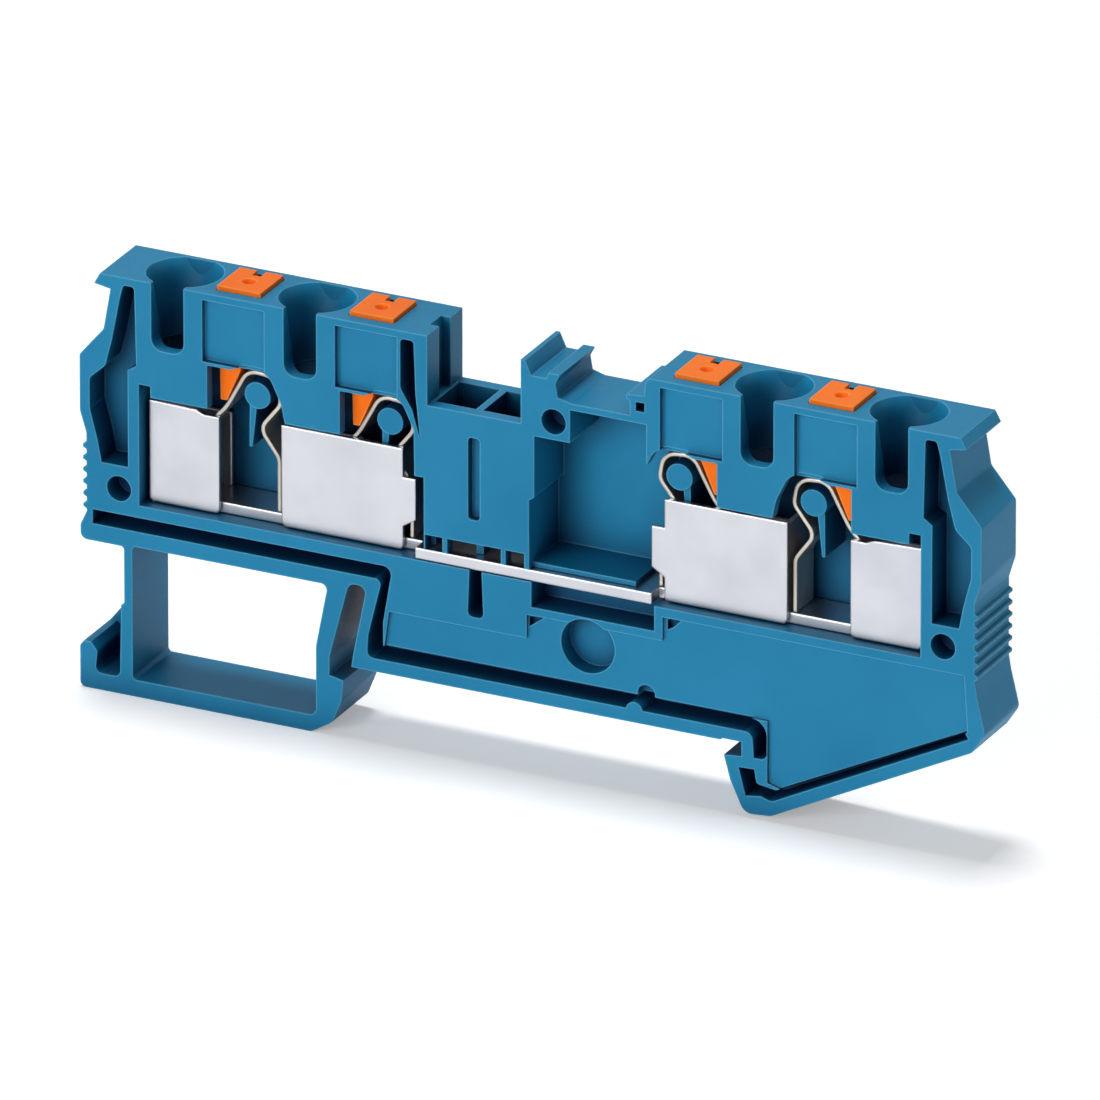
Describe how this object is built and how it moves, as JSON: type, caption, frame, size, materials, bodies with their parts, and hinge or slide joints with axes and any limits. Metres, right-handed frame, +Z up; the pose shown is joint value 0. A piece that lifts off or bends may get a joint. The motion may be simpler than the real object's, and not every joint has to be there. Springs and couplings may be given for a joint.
{
  "type": "terminal block",
  "caption": "Slim push-in terminal block slice with orange release buttons, open side with spring clamps, bridge shafts and a latching rail foot.",
  "frame": {"origin": "middle of the rail seat, halfway through the thickness", "axes": "X along the terminal, Y through its thickness with the open side at -Y, Z up away from the rail"},
  "size_m": [0.0774, 0.0077, 0.0354],
  "materials": {
    "housing_plastic": "moulded blue, satin",
    "button_plastic": "moulded orange, satin",
    "tinned_metal": "bright tin plating",
    "spring_steel": "plain spring steel"
  },
  "bodies": {
    "terminal": {"housing": "housing_plastic", "current_bar": "tinned_metal", "clamp_cage_outer_left": "tinned_metal", "clamp_spring_outer_left": "spring_steel", "clamp_cage_inner_left": "tinned_metal", "clamp_spring_inner_left": "spring_steel", "clamp_cage_inner_right": "tinned_metal", "clamp_spring_inner_right": "spring_steel", "clamp_cage_outer_right": "tinned_metal", "clamp_spring_outer_right": "spring_steel"},
    "button_outer_left": {"release_button_outer_left": "button_plastic"},
    "button_inner_left": {"release_button_inner_left": "button_plastic"},
    "button_inner_right": {"release_button_inner_right": "button_plastic"},
    "button_outer_right": {"release_button_outer_right": "button_plastic"}
  },
  "joints": [
    {"name": "press_outer_left", "type": "slide", "parent": "terminal", "child": "button_outer_left", "axis": [0, 0, -1], "range_m": [0, 0.0015], "stiffness_N_per_m": 4000, "deforming": ["clamp_spring_outer_left"]},
    {"name": "press_inner_left", "type": "slide", "parent": "terminal", "child": "button_inner_left", "axis": [0, 0, -1], "range_m": [0, 0.0015], "stiffness_N_per_m": 4000, "deforming": ["clamp_spring_inner_left"]},
    {"name": "press_inner_right", "type": "slide", "parent": "terminal", "child": "button_inner_right", "axis": [0, 0, -1], "range_m": [0, 0.0015], "stiffness_N_per_m": 4000, "deforming": ["clamp_spring_inner_right"]},
    {"name": "press_outer_right", "type": "slide", "parent": "terminal", "child": "button_outer_right", "axis": [0, 0, -1], "range_m": [0, 0.0015], "stiffness_N_per_m": 4000, "deforming": ["clamp_spring_outer_right"]}
  ]
}
